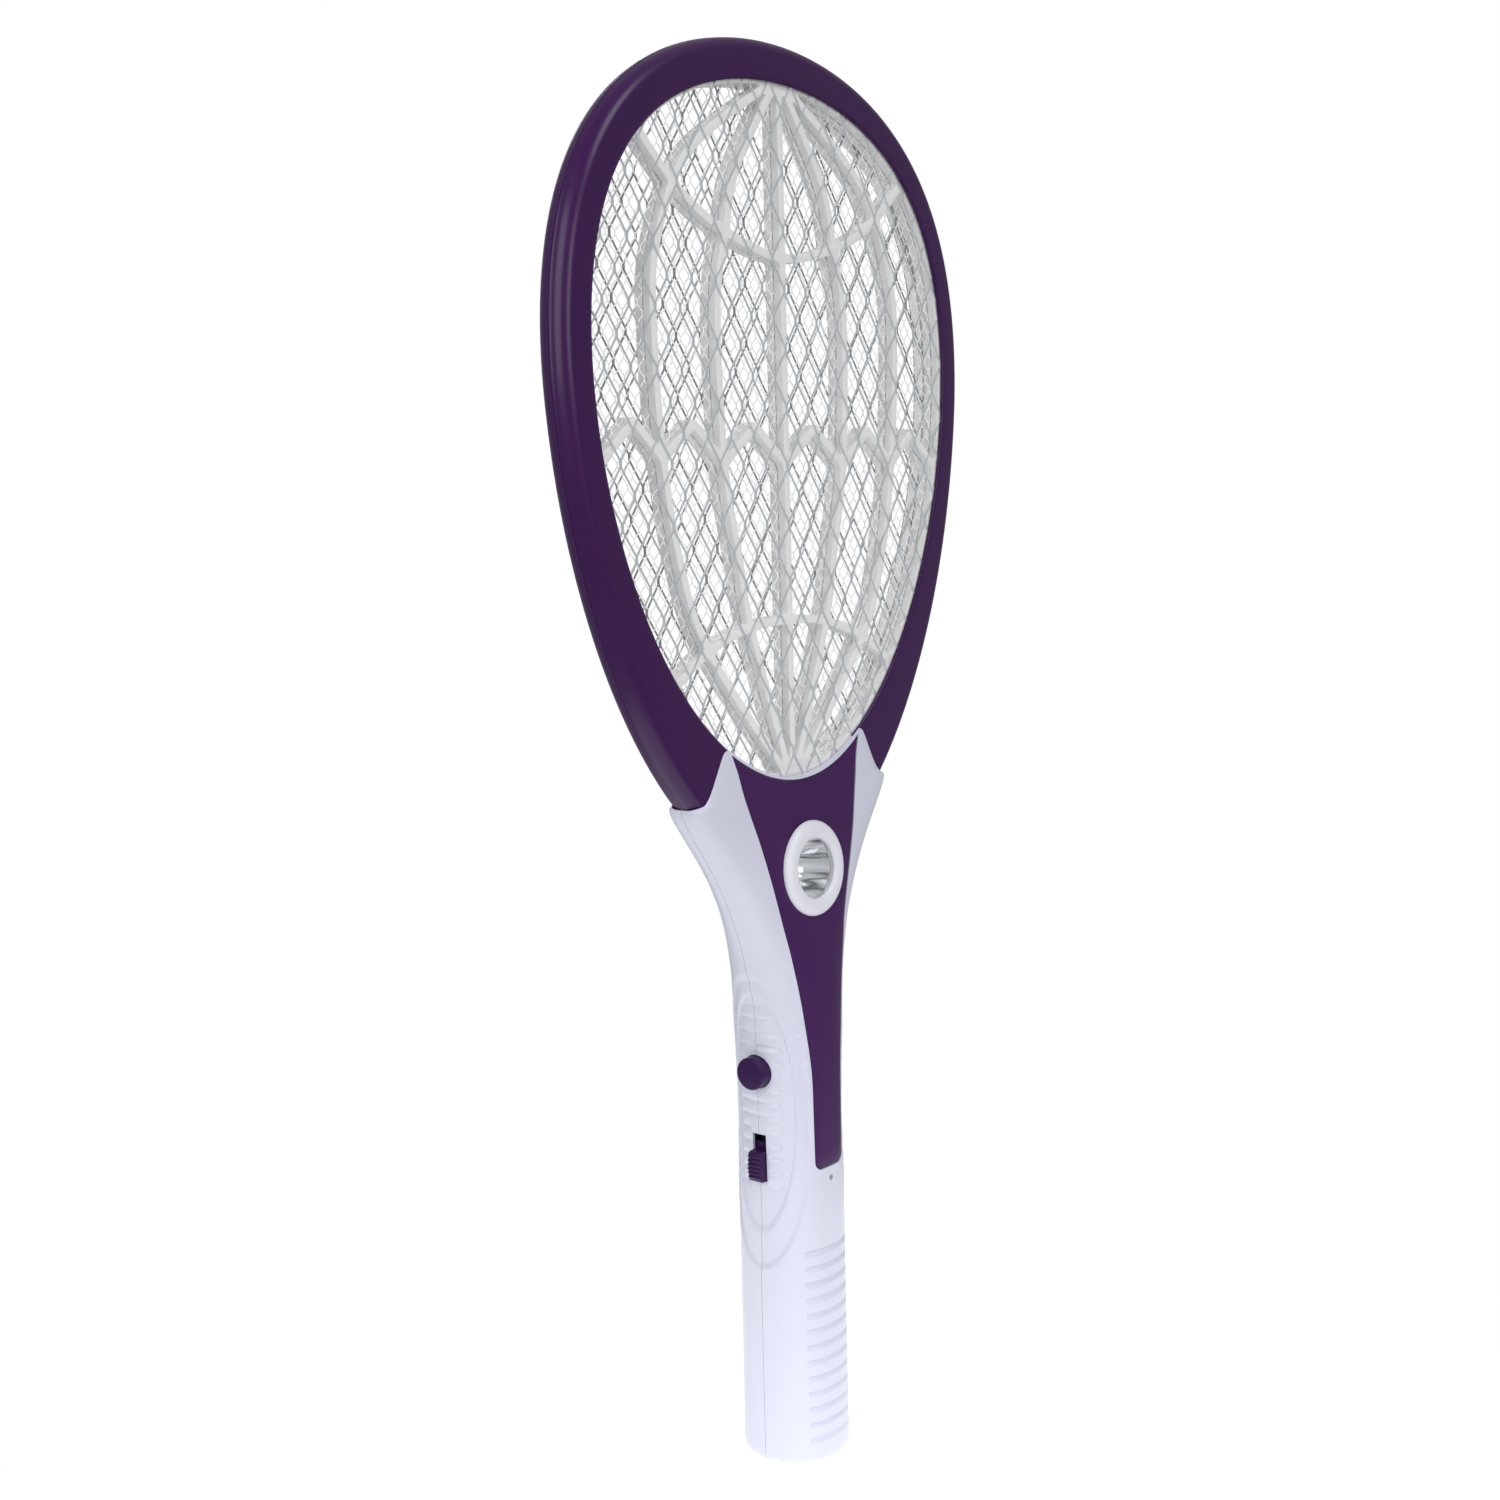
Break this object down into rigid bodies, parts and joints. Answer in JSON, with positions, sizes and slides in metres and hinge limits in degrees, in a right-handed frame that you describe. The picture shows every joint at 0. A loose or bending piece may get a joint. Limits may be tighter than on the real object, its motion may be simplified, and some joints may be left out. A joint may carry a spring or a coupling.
{
  "type": "electric fly swatter",
  "caption": "Racket-shaped insect zapper: an egg-shaped framed mesh head on a moulded handle with torch, push button, slide switch and slide-out plug.",
  "frame": {"origin": "middle of the handle's flat base", "axes": "+Z from the base to the top of the head, -Y is the front with the torch, -X is the side with the buttons"},
  "size_m": [0.2276, 0.0386, 0.5138],
  "materials": {
    "ring_purple": "satin moulded plastic",
    "panel_purple": "satin moulded plastic",
    "button_purple": "satin moulded plastic",
    "handle_white": "fine satin moulded plastic",
    "grid_white": "matt moulded plastic",
    "mesh_metal": "expanded metal, satin",
    "live_metal": "bright woven metal",
    "chrome": "vacuum-plated reflector",
    "clear": "clear moulding",
    "led_amber": "clear resin with phosphor",
    "steel": "zinc-plated",
    "pin_metal": "nickel-plated brass",
    "black_plastic": "moulded plastic",
    "board_green": "solder-masked laminate",
    "capacitor_red": "dipped epoxy",
    "capacitor_blue": "printed sleeve without text",
    "transformer_yellow": "tape-wrapped core",
    "resistor_tan": "lacquered",
    "lamp_red": "tinted resin",
    "battery_blue": "plastic case",
    "lead_red": "insulation",
    "lead_black": "insulation"
  },
  "bodies": {
    "racket": {"head_ring_front": "ring_purple", "head_ring_back": "ring_purple", "front_grid": "grid_white", "back_grid": "grid_white", "front_mesh": "mesh_metal", "live_mesh": "live_metal", "back_mesh": "mesh_metal", "handle_front_shell": "handle_white", "handle_back_shell": "handle_white", "front_panel": "panel_purple", "torch_bezel": "handle_white", "torch_lens": "clear", "torch_reflector": "chrome", "torch_led": "led_amber", "case_screw_1": "steel", "case_screw_2": "steel", "case_screw_3": "steel", "case_screw_4": "steel", "main_board": "board_green", "push_switch_body": "black_plastic", "slide_switch_body": "steel", "transformer": "transformer_yellow", "high_voltage_capacitor": "capacitor_red", "charging_capacitor": "capacitor_red", "boost_capacitor": "capacitor_blue", "diode_1": "black_plastic", "diode_2": "black_plastic", "diode_3": "black_plastic", "transistor": "black_plastic", "bleed_resistor": "resistor_tan", "indicator_lamp": "lamp_red", "battery": "battery_blue", "live_mesh_lead": "lead_red", "front_mesh_lead": "lead_black", "back_mesh_lead": "lead_black"},
    "button": {"zap_button": "button_purple", "push_switch_plunger": "black_plastic"},
    "switch": {"slide_knob": "button_purple"},
    "plug": {"plug_carriage": "black_plastic", "plug_pin_left": "pin_metal", "plug_pin_right": "pin_metal"}
  },
  "joints": [
    {"name": "button_press", "type": "slide", "parent": "racket", "child": "button", "axis": [1, 0, 0], "range_m": [0, 0.0012], "stiffness_N_per_m": 600, "springref_m": -0.001},
    {"name": "switch_slide", "type": "slide", "parent": "racket", "child": "switch", "axis": [0, 0, 1], "range_m": [0, 0.0058]},
    {"name": "plug_slide", "type": "slide", "parent": "racket", "child": "plug", "axis": [0, 0, -1], "range_m": [0, 0.0195]}
  ]
}
